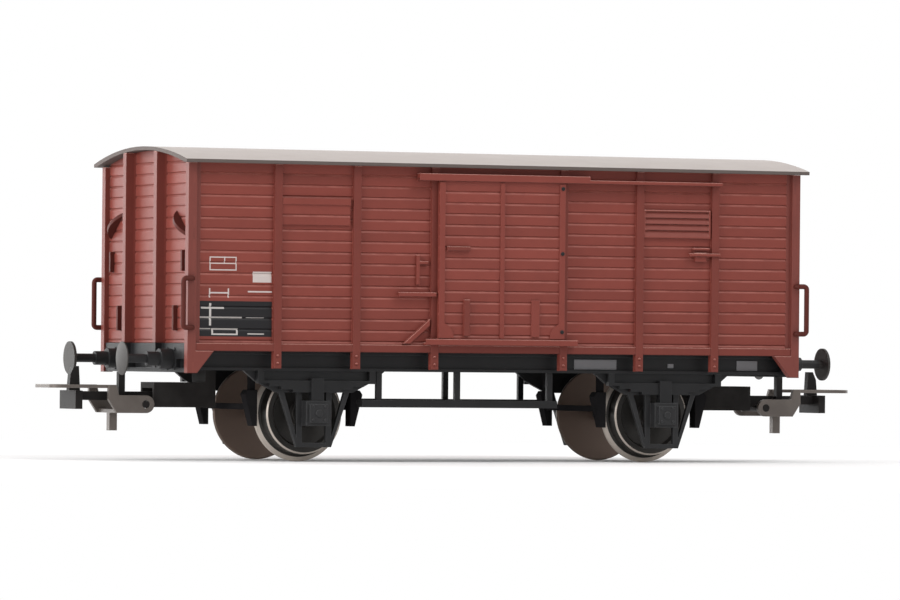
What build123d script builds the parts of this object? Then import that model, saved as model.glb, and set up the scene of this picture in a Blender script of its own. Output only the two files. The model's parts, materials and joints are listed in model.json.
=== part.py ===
"""H0 scale model of a two-axle covered goods wagon, in millimetres.

+X runs along the wagon, -Y is the near side, +Z is up, and z = 0 is the bottom of the wheel flanges.
The wagon looks the same when it is turned half round, so each near or left piece is built once in a
frame, and again in that frame turned by 180 degrees for its far or right twin.
"""
import os
from build123d import *

os.makedirs("parts", exist_ok=True)

# Running gear
WHEELBASE = 52.0
TREAD_R = 5.5
FLANGE_DEPTH = 1.0
FLANGE_WIDTH = 0.8
WHEEL_WIDTH = 2.8
WHEEL_BACK = 7.2          # from the middle of the axle to the wheel's back
RIM = 0.9
HUB_R = 1.7
WEB_RECESS = 0.6
AXLE_R = 1.0
JOURNAL_R = 0.75
JOURNAL_PLAY = 0.05
BOX_PLAY = 0.15           # gap between the journal's end and the bottom of its bore
FLANGE_R = TREAD_R + FLANGE_DEPTH
AXLE_Z = FLANGE_R
WHEEL_FACE = WHEEL_BACK + WHEEL_WIDTH
AXLES = (("left", -WHEELBASE / 2), ("right", WHEELBASE / 2))

# Body
AXLE_TO_END = 19.6        # from an axle to the faces of the nearest corner posts
BODY_WIDTH = 33.0         # over the side posts
WALL_HEIGHT = 25.2
POST_PROUD = 0.5
CORNER_PROUD = 0.7        # corner posts stand this far out of the end boards
WALL = 1.2
SILL_HEIGHT = 1.05
SILL_PROUD = 0.4
WHEEL_ROOM = 0.5          # between the wheels and the weight above them
BALLAST_THICK = 1.4
FIT = 0.05                # gap between pieces that are glued side by side
BODY_HALF = WHEELBASE / 2 + AXLE_TO_END
POST_FACE = BODY_WIDTH / 2
SIDE_FACE = POST_FACE - POST_PROUD
END_FACE = BODY_HALF - CORNER_PROUD
BALLAST_BOTTOM = AXLE_Z + FLANGE_R + WHEEL_ROOM
SILL_BOTTOM = BALLAST_BOTTOM + BALLAST_THICK
SILL_TOP = SILL_BOTTOM + SILL_HEIGHT
WALL_TOP = SILL_BOTTOM + WALL_HEIGHT

# Boarding
BOARD = 1.5               # height of one board
BOARD_START = 0.42        # lowest joint above the sill
GROOVE_DEPTH = 0.18
GROOVE_HEIGHT = 0.3
GROOVE_LIP = 0.1          # height of the groove's upper flank

# Doorway, posts and feet
DOORWAY_WIDTH = 17.6
DOOR_POST_INSET = 0.8     # from the doorway's edge to the middle of the post beside it
PANEL = 11.5              # from one side post to the next
POST_WIDTH = 1.1
POST_FOOT_DROP = 2.3
DOOR_POST = DOORWAY_WIDTH / 2 + DOOR_POST_INSET
MIDDLE_POST = DOOR_POST + PANEL
OUTER_POST = MIDDLE_POST + PANEL
SIDE_POSTS = (-OUTER_POST, -MIDDLE_POST, -DOOR_POST, DOOR_POST, MIDDLE_POST, OUTER_POST)
CORNER_WIDTH = 1.2
CORNER_DROP = 3.0
GUSSET_TOP = 3.8
GUSSET_FOOT = 1.4
END_POST_Y = 5.85
END_POST_WIDTH = 1.15
END_POST_PROUD = 1.45

# Roof
ROOF_OVERHANG = 0.8
ROOF_SIDE_OVERHANG = 1.2
ROOF_EDGE = 0.45
ROOF_RISE = 2.05
ROOF_SHELL = 0.5
ROOF_WALL_GAP = 0.04
EAVE_WIDTH = 0.8          # flat underside along the roof's edges
WALL_RISE = 0.15          # the side boards reach this far above the posts, up to the roof
ROOF_HALF = POST_FACE + ROOF_SIDE_OVERHANG
ARCH_HALF = ROOF_HALF - EAVE_WIDTH
ARCH_TOP = WALL_TOP + ROOF_EDGE + ROOF_RISE - ROOF_SHELL

# Door and its rails
DOORWAY_STEP = 0.85       # from the sill to the doorway
DOORWAY_HEAD = 2.1        # from the doorway to the wall's top
DOOR_LAP = 0.55           # the door covers the doorway by this much each side
DOOR_PLAY = 0.12          # running gap between the door and its rails and posts
DOOR_THICKNESS = 0.55
DOOR_STILE = 0.8
DOOR_BATTEN = 0.6
DOOR_FRAME_PROUD = 0.2
DOOR_BRACKET_R = 2.2      # quarter-round brackets in the door's lower corners
DOOR_BOARD_START = 0.95
RAIL_DEPTH = 1.05         # rails stand this far out of the posts
RAIL_LIP = 0.22
TOP_RAIL_RISE = 0.25      # from the doorway to the top rail
TOP_RAIL_HEIGHT = 0.5
TOP_RAIL_GROOVE = 0.32
TOP_RAIL_LEAD = 3.05      # past the closed door, away from the side it opens to
TOP_RAIL_TAIL = 0.5       # past the outer post
HOOD_TAIL = 3.65
HOOD_HEIGHT = 0.5
BOTTOM_RAIL_LEAD = 1.95
BOTTOM_RAIL_BASE = 0.35
BOTTOM_RAIL_HEIGHT = 0.85
DOORWAY_BOTTOM = SILL_TOP + DOORWAY_STEP
DOORWAY_TOP = WALL_TOP - DOORWAY_HEAD
TOP_RAIL_Z = DOORWAY_TOP + TOP_RAIL_RISE
DOOR_HALF = DOORWAY_WIDTH / 2 + DOOR_LAP
DOOR_BACK = POST_FACE + DOOR_PLAY
DOOR_FRONT = DOOR_BACK + DOOR_THICKNESS
DOOR_BOTTOM = SILL_TOP + BOTTOM_RAIL_BASE + DOOR_PLAY
DOOR_TOP = TOP_RAIL_Z - DOOR_PLAY
RAIL_FACE = POST_FACE + RAIL_DEPTH
TOP_RAIL_LEFT = -DOOR_HALF - TOP_RAIL_LEAD
TOP_RAIL_RIGHT = OUTER_POST + TOP_RAIL_TAIL
HOOD_RIGHT = DOOR_HALF + HOOD_TAIL
BOTTOM_RAIL_HALF = DOOR_HALF + BOTTOM_RAIL_LEAD

# Door fittings, with heights above the sill
STRAP_INSETS = (4.05, 4.35)  # from the door's left and right edges
STRAP_WIDTHS = (0.8, 1.2)
STRAP_PROUD = (0.45, 0.2)
STRAP_PLACES = (-DOOR_HALF + STRAP_INSETS[0], DOOR_HALF - STRAP_INSETS[1])
DOOR_STRAPS = tuple(zip(STRAP_PLACES, STRAP_WIDTHS, STRAP_PROUD))
STRAP_RISE = 1.25
STRAP_LENGTH = 5.0
HANDLE_INSET = 1.05       # from the door's edge
HANDLE_RISE = 12.85
HANDLE_LENGTH = 3.4
HANDLE_HEIGHT = 0.6
HANDLE_PROUD = 0.45
STRAP_Z = (SILL_TOP + STRAP_RISE, SILL_TOP + STRAP_RISE + STRAP_LENGTH)
HANDLE_X = (-DOOR_HALF + HANDLE_INSET, -DOOR_HALF + HANDLE_INSET + HANDLE_LENGTH)
HANDLE_Z = (SILL_TOP + HANDLE_RISE, SILL_TOP + HANDLE_RISE + HANDLE_HEIGHT)
LEVER_PROUD = 1.0
CATCH_PROUD = 0.4
DOOR_FITTINGS = (  # (x range from the door's edge, z range, gap behind it, proud of the boards)
    ((-5.75, -0.25), (6.55, 7.15), POST_PROUD, LEVER_PROUD),
    ((-2.95, -2.5), (8.15, 12.25), 0, CATCH_PROUD),
    ((-2.95, -1.25), (10.95, 11.4), 0, CATCH_PROUD),
)
STOP_OUTLINE = ((-4.95, 0.15), (-3.95, 0.15), (-1.05, 2.65), (-1.05, 3.55))
STOP_PROUD = 0.7

# Vents, hatches and bolts
VENT_GAP = 0.2            # between the vent and the outer post
VENT_DROP = 5.2           # from the wall's top to the vent
VENT_HEIGHT = 3.9
VENT_FRAME = 0.25
VENT_PROUD = 0.4
VENT_BACK = 0.08
VENT_SLATS = 4
HATCH_GAP = 0.45          # between the hatch and the middle post
HATCH_DROP = 5.35
HATCH_HEIGHT = 2.75
HATCH_PROUD = 0.3
HATCH_HOOD = 0.85         # height of the rail above the lid
HATCH_HOOD_PROUD = 0.5
VENT_X = (MIDDLE_POST + POST_WIDTH / 2, OUTER_POST - POST_WIDTH / 2 - VENT_GAP)
VENT_Z = (WALL_TOP - VENT_DROP - VENT_HEIGHT, WALL_TOP - VENT_DROP)
HATCH_X = (-OUTER_POST + POST_WIDTH / 2 + FIT, -MIDDLE_POST - POST_WIDTH / 2 - HATCH_GAP)
HATCH_Z = (WALL_TOP - HATCH_DROP - HATCH_HEIGHT, WALL_TOP - HATCH_DROP)
BOLT_PROUD = 0.8
BOLT_PIECES = (  # (x range from the outer post, z range from the vent's bottom, foot, proud)
    ((-4.1, 0.6), (-2.45, -2.0), POST_PROUD, BOLT_PROUD),
    ((-3.1, -1.4), (-3.2, -1.9), 0, POST_PROUD),
    ((-3.4, -0.9), (-1.6, -1.25), 0, POST_PROUD),
)

# End irons, with heights above the sill
GRAB_RISE = 2.05
GRAB_LENGTH = 6.6
GRAB_STAND = 0.55         # the bar's middle stands this far out of the corner post's side
GRAB_REACH = 0.85         # and this far past the end of the body
GRAB_BEND = 0.45
GRAB_R = 0.35
GRAB_X = (CORNER_WIDTH / 2 - BODY_HALF, -BODY_HALF - GRAB_REACH)
GRAB_Y = (POST_FACE, POST_FACE + GRAB_STAND)
GRAB_Z = (SILL_TOP + GRAB_RISE, SILL_TOP + GRAB_RISE + GRAB_LENGTH)
LAMP_PROUD = 1.2
LAMP_WIDTH = 0.5
LAMP_FOOT = (1.2, 14.4)   # (in from the side boards, up)
LAMP_TIP = (5.8, 17.6)
STAPLE_PROUD = 0.6
LAMP_STAPLES = ((2.4, (9.65, 12.45)), (5.4, (2.25, 5.05)), (5.4, (1.65, 2.25)))

# Underframe
SOLE_BAR_INSET = 2.0      # from the posts' faces to the sole bar's face
SOLE_BAR_DEPTH = 1.0
SOLE_BAR_HEIGHT = 2.6
FLANGE = 0.4
HEADSTOCK_THICK = 1.4
HEADSTOCK_DROP = 0.3      # below the sole bars
HEADSTOCK_GAP = 0.1       # between the headstock and the corner posts
HEADSTOCK_PROUD = 0.5     # in front of the end boards
HEADSTOCK_RECESS = 0.7
HEADSTOCK_LIP = 0.6
SOLE_BAR_FACE = POST_FACE - SOLE_BAR_INSET
SOLE_BAR_Y = SOLE_BAR_FACE - SOLE_BAR_DEPTH
SOLE_BAR_BOTTOM = SILL_BOTTOM - SOLE_BAR_HEIGHT
HEADSTOCK_BOTTOM = SOLE_BAR_BOTTOM - HEADSTOCK_DROP
HEADSTOCK_HALF = POST_FACE - CORNER_WIDTH - HEADSTOCK_GAP
HEADSTOCK_FACE = END_FACE + HEADSTOCK_PROUD
HEADSTOCK_BACK = HEADSTOCK_FACE - HEADSTOCK_THICK

# Axle guards and springs, measured from the axle's middle
GUARD_THICK = 0.6
GUARD_INSET = 0.6         # from the sill down to the guard's top
GUARD_PLATE_DROP = 2.1    # from the sole bar down to the foot of its plate
GUARD_HALF = 4.6
GUARD_WING = 10.3         # half the length of the backing plate behind the spring
WING_MIDDLE = (8.6, 1.4)  # (half length, drop) at the plate's corners
WING_FOOT = (5.6, 2.9)
GUARD_DROP = 4.5          # from the axle down to the guard's foot
GUARD_TIE = 0.6
GUARD_TOP = SILL_BOTTOM - GUARD_INSET
GUARD_PLATE_BOTTOM = SOLE_BAR_BOTTOM - GUARD_PLATE_DROP
GUARD_FOOT = AXLE_Z - GUARD_DROP
BOX_HALF = 1.75
BOX_DROP = 1.6
BOX_RISE = 1.8
BOX_PROUD = 0.5
BOX_Z = (AXLE_Z - BOX_DROP, AXLE_Z + BOX_RISE)
BOX_FACE = SOLE_BAR_FACE + BOX_PROUD
BOX_LID = 0.35
BOX_LID_INSET = 0.45
LEG = 0.8
LEG_SPREAD = 5.4
GUARD_OUTLINES = (
    ((-GUARD_WING, SOLE_BAR_BOTTOM), (-WING_MIDDLE[0], SOLE_BAR_BOTTOM - WING_MIDDLE[1]),
     (-WING_FOOT[0], SOLE_BAR_BOTTOM - WING_FOOT[1]), (WING_FOOT[0], SOLE_BAR_BOTTOM - WING_FOOT[1]),
     (WING_MIDDLE[0], SOLE_BAR_BOTTOM - WING_MIDDLE[1]), (GUARD_WING, SOLE_BAR_BOTTOM)),
    ((-GUARD_HALF, GUARD_PLATE_BOTTOM), (GUARD_HALF, GUARD_PLATE_BOTTOM), (GUARD_HALF, GUARD_TOP),
     (-GUARD_HALF, GUARD_TOP)),
    ((-BOX_HALF - LEG, GUARD_FOOT), (BOX_HALF + LEG, GUARD_FOOT), (BOX_HALF + LEG, GUARD_FOOT + GUARD_TIE),
     (-BOX_HALF - LEG, GUARD_FOOT + GUARD_TIE)),
)
GUARD_LEGS = (
    ((BOX_HALF, GUARD_FOOT), (BOX_HALF + LEG, GUARD_FOOT), (BOX_HALF + LEG, GUARD_TOP),
     (BOX_HALF, GUARD_TOP)),
    ((BOX_HALF + LEG / 2, GUARD_FOOT), (BOX_HALF + LEG, GUARD_FOOT), (LEG_SPREAD, GUARD_PLATE_BOTTOM),
     (LEG_SPREAD, SOLE_BAR_BOTTOM), (LEG_SPREAD - LEG, SOLE_BAR_BOTTOM),
     (LEG_SPREAD - LEG, GUARD_PLATE_BOTTOM)),
)
GUARD_BACK = SOLE_BAR_Y - GUARD_THICK
BORE_DEPTH = 1.6
JOURNAL_END = GUARD_BACK + BORE_DEPTH - BOX_PLAY
WHEEL_PROFILE = (
    (WHEEL_BACK, AXLE_R), (WHEEL_BACK, FLANGE_R - 0.2), (WHEEL_BACK + 0.25, FLANGE_R),
    (WHEEL_BACK + 0.5, FLANGE_R - 0.1), (WHEEL_BACK + FLANGE_WIDTH, TREAD_R + 0.1),
    (WHEEL_FACE - 0.2, TREAD_R), (WHEEL_FACE, TREAD_R - 0.2), (WHEEL_FACE, TREAD_R - RIM),
    (WHEEL_FACE - WEB_RECESS, TREAD_R - RIM - 0.3), (WHEEL_FACE - WEB_RECESS, HUB_R + 0.2),
    (WHEEL_FACE, HUB_R), (WHEEL_FACE, AXLE_R),
)
SPRING_BACK = SOLE_BAR_Y + 0.15
SPRING_FACE = SOLE_BAR_FACE
SPRING_TOP = SOLE_BAR_BOTTOM - 1.3
SPRING_HALF = 8.6
SPRING_STEP = 1.7
SPRING_LEAVES = 4
LEAF = 0.4
HANGER = 0.9
BUCKLE_HALF = 0.9
BUCKLE_PROUD = 0.3

# Brakes: outlines are measured out from the flange and up from the axle
SHOE_INSET = 1.0          # from the wheel's face to the middle of its shoe
SHOE_WIDTH = 1.8
SHOE_HANGER_WIDTH = 0.9
SHOE_OUTLINE = ((0.35, -1.7), (1.0, -1.7), (2.1, 2.6), (1.7, 3.2), (0.35, 3.2))
SHOE_HANGER = (FLANGE_R + 0.5, FLANGE_R + 1.3)
BEAM_Z = (AXLE_Z + 0.5, AXLE_Z + 1.3)
SHOE_Y = WHEEL_FACE - SHOE_INSET

# Weight under the floor, between the brake hangers
BALLAST_OVERRUN = 8.0     # past the axles
BALLAST_GAP = 0.25
BALLAST_X = WHEELBASE / 2 + BALLAST_OVERRUN
BALLAST_Y = SHOE_Y - SHOE_HANGER_WIDTH / 2 - BALLAST_GAP

# Footboards
STEP_HANGER = 0.8
STEP_LEAD = 6.6           # from the left axle to the board
STEP_TAIL = 16.4          # from the board to the right axle
STEP_DROP = 4.85          # from the sole bar to the board's underside
STEP_HEIGHT = 1.0
STEP_WIDTH = 2.0
STEP_PROUD = 0.1
STEP_X = (-WHEELBASE / 2 + STEP_LEAD, WHEELBASE / 2 - STEP_TAIL)
STEP_Z = (SOLE_BAR_BOTTOM - STEP_DROP, SOLE_BAR_BOTTOM - STEP_DROP + STEP_HEIGHT)
STEP_FACE = SOLE_BAR_FACE + STEP_PROUD
STEP_BACK = STEP_FACE - STEP_WIDTH
STEP_FIRST = -WHEELBASE / 2 + SPRING_HALF + 0.6
STEP_HANGERS = (STEP_FIRST, STEP_FIRST + 11.6, STEP_X[1] - 1.0)

# Buffers, measured from the headstock
BUFFER_Y = 9.95
BUFFER_Z = HEADSTOCK_BOTTOM + 1.8
BUFFER_LENGTH = 7.3
BUFFER_PLATE = 3.6
BUFFER_DOME = 0.2
HEAD_R = 2.25
HEAD_THICK = 0.35
PLUNGER_R = 0.6
SLEEVE_LENGTH = 3.6
SLEEVE_R = 0.95
SLEEVE_FOOT = 1.8
SLEEVE_FOOT_R = 1.35

# Coupler pockets
POCKET_SETBACK = 0.4      # from the headstock's face
POCKET_FRONT = HEADSTOCK_FACE - POCKET_SETBACK
POCKET_LEAD = 10.0        # from the axle to the pocket
POCKET_BACK = WHEELBASE / 2 + POCKET_LEAD
POCKET_HALF = 2.5
POCKET_CHEEK = 0.5
POCKET_DROP = 1.4         # from the headstock down to the pocket
POCKET_SHEET = 0.8
POCKET_DEPTH = 3.4
POCKET_TOP = HEADSTOCK_BOTTOM - POCKET_DROP
POCKET_ROOF = POCKET_TOP - POCKET_SHEET
POCKET_BOTTOM = POCKET_TOP - POCKET_DEPTH
POCKET_STEM = 1.5
SWING_SETBACK = 4.4
SWING_X = HEADSTOCK_FACE - SWING_SETBACK  # the vertical pin that the coupler swings on
SWING_PIN_R = 0.8
SWING_PLAY = 0.05
SWING_HEAD_R = 1.4
SWING_HEAD = 0.4

# Couplers, measured along from the swing pin
EYE_R = 1.7
EYE_Z = (POCKET_BOTTOM + SWING_HEAD + 0.1, POCKET_ROOF - 0.1)
SHANK_HALF = 1.1
SHANK_Z = (POCKET_BOTTOM + 0.5, POCKET_BOTTOM + 2.1)
SHANK_STEP = 7.6
SHANK_NECK = SHANK_Z[0] + 0.4
PLATE_FRONT = 15.5
PLATE_THICK = 1.0
PLATE_HALF = 3.1
PLATE_Z = (SHANK_Z[0] - 0.8, SHANK_Z[1] + 0.1)
HORN_WIDTH = 1.1
HORN_OUTLINE = ((0, 0), (0.2, 2.3), (0.7, 3.4), (1.4, 3.4), (1.6, 0))  # (behind the plate, above the shank)
STOP_POST = 0.9
STOP_POST_X = 8.6
STOP_POST_Y = 2.0
STOP_POST_HEIGHT = 2.7
LIFT_X = 5.7              # the cross pin that the loop lifts on
LIFT_Z = SHANK_Z[0] - 0.1
LIFT_PIN_R = 0.5
LIFT_PLAY = 0.05

# Coupling loops, measured along and up from the lift pin
LOOP_ARM_FACE = 4.1
LOOP_ARM = 0.6
LOOP_ARM_EYE_R = 1.2
LOOP_ARM_OUTLINE = (
    (0, LOOP_ARM_EYE_R), (-3.9, LOOP_ARM_EYE_R), (-4.3, 2.6), (-5.4, 2.6), (-5.4, 0.6),
    (-4.2, -LOOP_ARM_EYE_R), (0, -LOOP_ARM_EYE_R))
LOOP_RISE = 2.15
LOOP_THICK = 0.45
LOOP_BAR = 0.8
LOOP_ROOT = 4.3
LOOP_TIP = 13.45
LOOP_CORNER = 1.6
TAIL = 1.1
TAIL_X = 3.4
TAIL_BAR_Z = (-1.2, -0.7)
TAIL_BOTTOM = -3.6

# The left end and near side stand in HOME, the right end and far side in TURNED.
HOME = Plane.XY
TURNED = Plane.XY.rotated((0, 0, 180))
SIDES = (("near", HOME), ("far", TURNED))
ENDS = (("left", HOME), ("right", TURNED))


def on(frame, plane):
    """The given plane as it lies in a frame."""
    return Plane(frame.location * plane.location)


def block(x, y, z, mode=Mode.ADD):
    """A box from its (low, high) range on each axis."""
    with Locations(((x[0] + x[1]) / 2, (y[0] + y[1]) / 2, (z[0] + z[1]) / 2)):
        Box(x[1] - x[0], y[1] - y[0], z[1] - z[0], mode=mode)


def boarded(face, back, bottom, top, first_joint):
    """Section of a boarded wall: each joint is a groove with a long lower flank and a short upper one."""
    inward = GROOVE_DEPTH if back > face else -GROOVE_DEPTH
    points = [(back, bottom), (face, bottom)]
    joint = first_joint
    while joint < top - GROOVE_HEIGHT:
        points += [(face, joint - GROOVE_HEIGHT), (face + inward, joint), (face, joint + GROOVE_LIP)]
        joint += BOARD
    return points + [(face, top), (back, top)]


def save(builder, label):
    """Label a finished piece and write it."""
    builder.part.label = label
    export_step(builder.part, f"parts/{label}.step")


# Outline of an end wall: straight sides and a top that follows the roof's inside
with BuildSketch() as gable:
    with BuildLine():
        arch = ThreePointArc((-ARCH_HALF, WALL_TOP), (0, ARCH_TOP - ROOF_WALL_GAP), (ARCH_HALF, WALL_TOP))
        Polyline(arch @ 1, (ARCH_HALF, SILL_TOP), (-ARCH_HALF, SILL_TOP), arch @ 0)
    make_face()
    with Locations((0, WALL_TOP)):
        Rectangle(2 * SIDE_FACE, 2 * WALL_TOP, mode=Mode.INTERSECT)

# Roof
with BuildPart() as roof:
    with BuildSketch(Plane.YZ):
        with BuildLine():
            eave = WALL_TOP + ROOF_EDGE
            outside = ThreePointArc((-ROOF_HALF, eave), (0, eave + ROOF_RISE), (ROOF_HALF, eave))
            inside = ThreePointArc((-ARCH_HALF, WALL_TOP), (0, ARCH_TOP), (ARCH_HALF, WALL_TOP))
            Polyline(outside @ 1, (ROOF_HALF, WALL_TOP), inside @ 1)
            Polyline(outside @ 0, (-ROOF_HALF, WALL_TOP), inside @ 0)
        make_face()
    extrude(amount=BODY_HALF + ROOF_OVERHANG, both=True)
save(roof, "roof")

# Floor
with BuildPart() as floor:
    inner_x = END_FACE - WALL - FIT
    inner_y = SIDE_FACE - WALL - FIT
    block((-inner_x, inner_x), (-inner_y, inner_y), (SILL_BOTTOM, SILL_TOP))
save(floor, "floor")

# Side walls with their posts, sill and doorway
for side, frame in SIDES:
    with BuildPart(frame) as side_wall:
        with BuildSketch(on(frame, Plane.YZ)):
            with BuildLine():
                first_joint = SILL_TOP + BOARD_START
                board_top = WALL_TOP + WALL_RISE
                section = boarded(-SIDE_FACE, -SIDE_FACE + WALL, SILL_BOTTOM, board_top, first_joint)
                Polyline(*section, close=True)
            make_face()
        extrude(amount=END_FACE - WALL, both=True)
        sill_half = BODY_HALF - CORNER_WIDTH - FIT
        block((-sill_half, sill_half), (-SIDE_FACE - SILL_PROUD, -SIDE_FACE + SILL_PROUD),
              (SILL_BOTTOM, SILL_TOP))
        for x in SIDE_POSTS:
            block((x - POST_WIDTH / 2, x + POST_WIDTH / 2), (-POST_FACE, -SIDE_FACE + SILL_PROUD),
                  (SILL_BOTTOM - POST_FOOT_DROP, WALL_TOP))
        block((-DOORWAY_WIDTH / 2, DOORWAY_WIDTH / 2), (-POST_FACE, 0), (DOORWAY_BOTTOM, DOORWAY_TOP),
              mode=Mode.SUBTRACT)
    save(side_wall, f"side_wall_{side}")

# End walls with their corner posts, gussets and two outer posts
for end, frame in ENDS:
    with BuildPart(frame) as end_wall:
        with BuildSketch(on(frame, Plane.XZ)):
            with BuildLine():
                first_joint = SILL_TOP + BOARD_START
                Polyline(*boarded(-END_FACE, -END_FACE + WALL, SILL_TOP, ARCH_TOP, first_joint), close=True)
            make_face()
        extrude(amount=SIDE_FACE, both=True)
        with BuildSketch(on(frame, Plane.YZ)):
            add(gable.sketch)
        extrude(amount=-BODY_HALF, mode=Mode.INTERSECT)
        for y in (-END_POST_Y, END_POST_Y):
            with BuildSketch(on(frame, Plane.YZ.offset(-END_FACE + WALL / 2))):
                add(gable.sketch)
                with Locations((y, WALL_TOP / 2)):
                    Rectangle(END_POST_WIDTH, WALL_TOP * 2, mode=Mode.INTERSECT)
            extrude(amount=-END_POST_PROUD - WALL / 2)
        corner_z = SILL_BOTTOM - CORNER_DROP
        for y in ((-POST_FACE, -POST_FACE + CORNER_WIDTH), (POST_FACE - CORNER_WIDTH, POST_FACE)):
            block((-BODY_HALF, -BODY_HALF + CORNER_WIDTH), y, (corner_z, WALL_TOP))
        for y in (-POST_FACE, POST_FACE - POST_PROUD - SILL_PROUD):
            with BuildSketch(on(frame, Plane.XZ.offset(-y))):
                with BuildLine():
                    Polyline((-BODY_HALF, SILL_BOTTOM), (-BODY_HALF + GUSSET_TOP, SILL_BOTTOM),
                             (-BODY_HALF + GUSSET_FOOT, corner_z), (-BODY_HALF, corner_z), close=True)
                make_face()
            extrude(amount=-POST_PROUD - SILL_PROUD)
    save(end_wall, f"end_wall_{end}")

# Sliding doors: a boarded slab with stiles, batten, corner brackets and a tongue that runs in the top rail
for side, frame in SIDES:
    with BuildPart(frame) as door:
        with BuildSketch(on(frame, Plane.YZ)):
            with BuildLine():
                first_joint = DOOR_BOTTOM + DOOR_BOARD_START
                Polyline(*boarded(-DOOR_FRONT, -DOOR_BACK, DOOR_BOTTOM, DOOR_TOP, first_joint), close=True)
            make_face()
        extrude(amount=DOOR_HALF, both=True)
        frame_y = (-DOOR_FRONT - DOOR_FRAME_PROUD, -DOOR_FRONT + GROOVE_DEPTH)
        frame_z = (SILL_TOP + BOTTOM_RAIL_HEIGHT + DOOR_PLAY, DOOR_TOP)
        for x, width in ((-DOOR_HALF + DOOR_STILE / 2, DOOR_STILE), (0, DOOR_BATTEN),
                         (DOOR_HALF - DOOR_STILE / 2, DOOR_STILE)):
            block((x - width / 2, x + width / 2), frame_y, frame_z)
        with BuildSketch(on(frame, Plane.XZ.offset(DOOR_FRONT - GROOVE_DEPTH))):
            with Locations((-DOOR_HALF, frame_z[0]), (DOOR_HALF, frame_z[0])):
                Circle(DOOR_BRACKET_R)
            with Locations((0, frame_z[0])):
                Rectangle(2 * DOOR_HALF, DOOR_BRACKET_R, align=(Align.CENTER, Align.MIN),
                          mode=Mode.INTERSECT)
        extrude(amount=GROOVE_DEPTH + DOOR_FRAME_PROUD)
        tongue_y = (-RAIL_FACE + RAIL_LIP + DOOR_PLAY, -POST_FACE - RAIL_LIP - DOOR_PLAY)
        block((-DOOR_HALF, DOOR_HALF), tongue_y,
              (DOOR_TOP - GROOVE_HEIGHT, TOP_RAIL_Z + TOP_RAIL_GROOVE - DOOR_PLAY))
        for x, width, proud in DOOR_STRAPS:
            block((x - width / 2, x + width / 2), (-DOOR_FRONT - proud, -DOOR_FRONT + GROOVE_DEPTH),
                  STRAP_Z)
        handle_y = (-DOOR_FRONT - HANDLE_PROUD, -DOOR_FRONT + GROOVE_DEPTH)
        block(HANDLE_X, handle_y, HANDLE_Z)
    save(door, f"door_{side}")

# Door rails: a grooved top rail with a hood over the closed door, and a lipped bottom rail
for side, frame in SIDES:
    with BuildPart(frame) as rails:
        rail_y = (-RAIL_FACE, -POST_FACE)
        top_z = (TOP_RAIL_Z, TOP_RAIL_Z + TOP_RAIL_HEIGHT)
        block((TOP_RAIL_LEFT, TOP_RAIL_RIGHT), rail_y, top_z)
        block((TOP_RAIL_LEFT, TOP_RAIL_RIGHT), (-RAIL_FACE + RAIL_LIP, -POST_FACE - RAIL_LIP),
              (TOP_RAIL_Z, TOP_RAIL_Z + TOP_RAIL_GROOVE), mode=Mode.SUBTRACT)
        block((TOP_RAIL_LEFT, HOOD_RIGHT), rail_y, (top_z[1], top_z[1] + HOOD_HEIGHT))
        base = SILL_TOP + BOTTOM_RAIL_BASE
        block((-BOTTOM_RAIL_HALF, BOTTOM_RAIL_HALF), rail_y, (SILL_TOP, base))
        block((-BOTTOM_RAIL_HALF, BOTTOM_RAIL_HALF), (-RAIL_FACE, -RAIL_FACE + RAIL_LIP),
              (base, SILL_TOP + BOTTOM_RAIL_HEIGHT))
    save(rails, f"door_rails_{side}")

# Door fittings on the wall: a lever, a catch and a slanted stop, left of the closed door
for side, frame in SIDES:
    with BuildPart(frame) as fittings:
        for x, z, foot, proud in DOOR_FITTINGS:
            block((-DOOR_HALF + x[0], -DOOR_HALF + x[1]), (-SIDE_FACE - proud, -SIDE_FACE - foot),
                  (SILL_TOP + z[0], SILL_TOP + z[1]))
        with BuildSketch(on(frame, Plane.XZ.offset(SIDE_FACE))):
            with BuildLine():
                Polyline(*[(-DOOR_HALF + x, SILL_TOP + z) for x, z in STOP_OUTLINE], close=True)
            make_face()
        extrude(amount=STOP_PROUD)
    save(fittings, f"door_fittings_{side}")

# Louvred vents: a frame round sloping slats
for side, frame in SIDES:
    with BuildPart(frame) as vent:
        vent_y = (-SIDE_FACE - VENT_PROUD, -SIDE_FACE)
        block(VENT_X, vent_y, VENT_Z)
        inner_x = (VENT_X[0] + VENT_FRAME, VENT_X[1] - VENT_FRAME)
        inner_z = (VENT_Z[0] + VENT_FRAME, VENT_Z[1] - VENT_FRAME)
        block(inner_x, (-SIDE_FACE - VENT_PROUD, -SIDE_FACE - VENT_BACK), inner_z, mode=Mode.SUBTRACT)
        pitch = (inner_z[1] - inner_z[0]) / VENT_SLATS
        for i in range(VENT_SLATS):
            foot = inner_z[0] + i * pitch
            with BuildSketch(on(frame, Plane.YZ.offset(inner_x[0]))):
                with BuildLine():
                    Polyline((-SIDE_FACE - VENT_PROUD, foot), (-SIDE_FACE - VENT_BACK, foot),
                             (-SIDE_FACE - VENT_BACK, foot + pitch), close=True)
                make_face()
            extrude(amount=inner_x[1] - inner_x[0])
    save(vent, f"vent_{side}")

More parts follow.
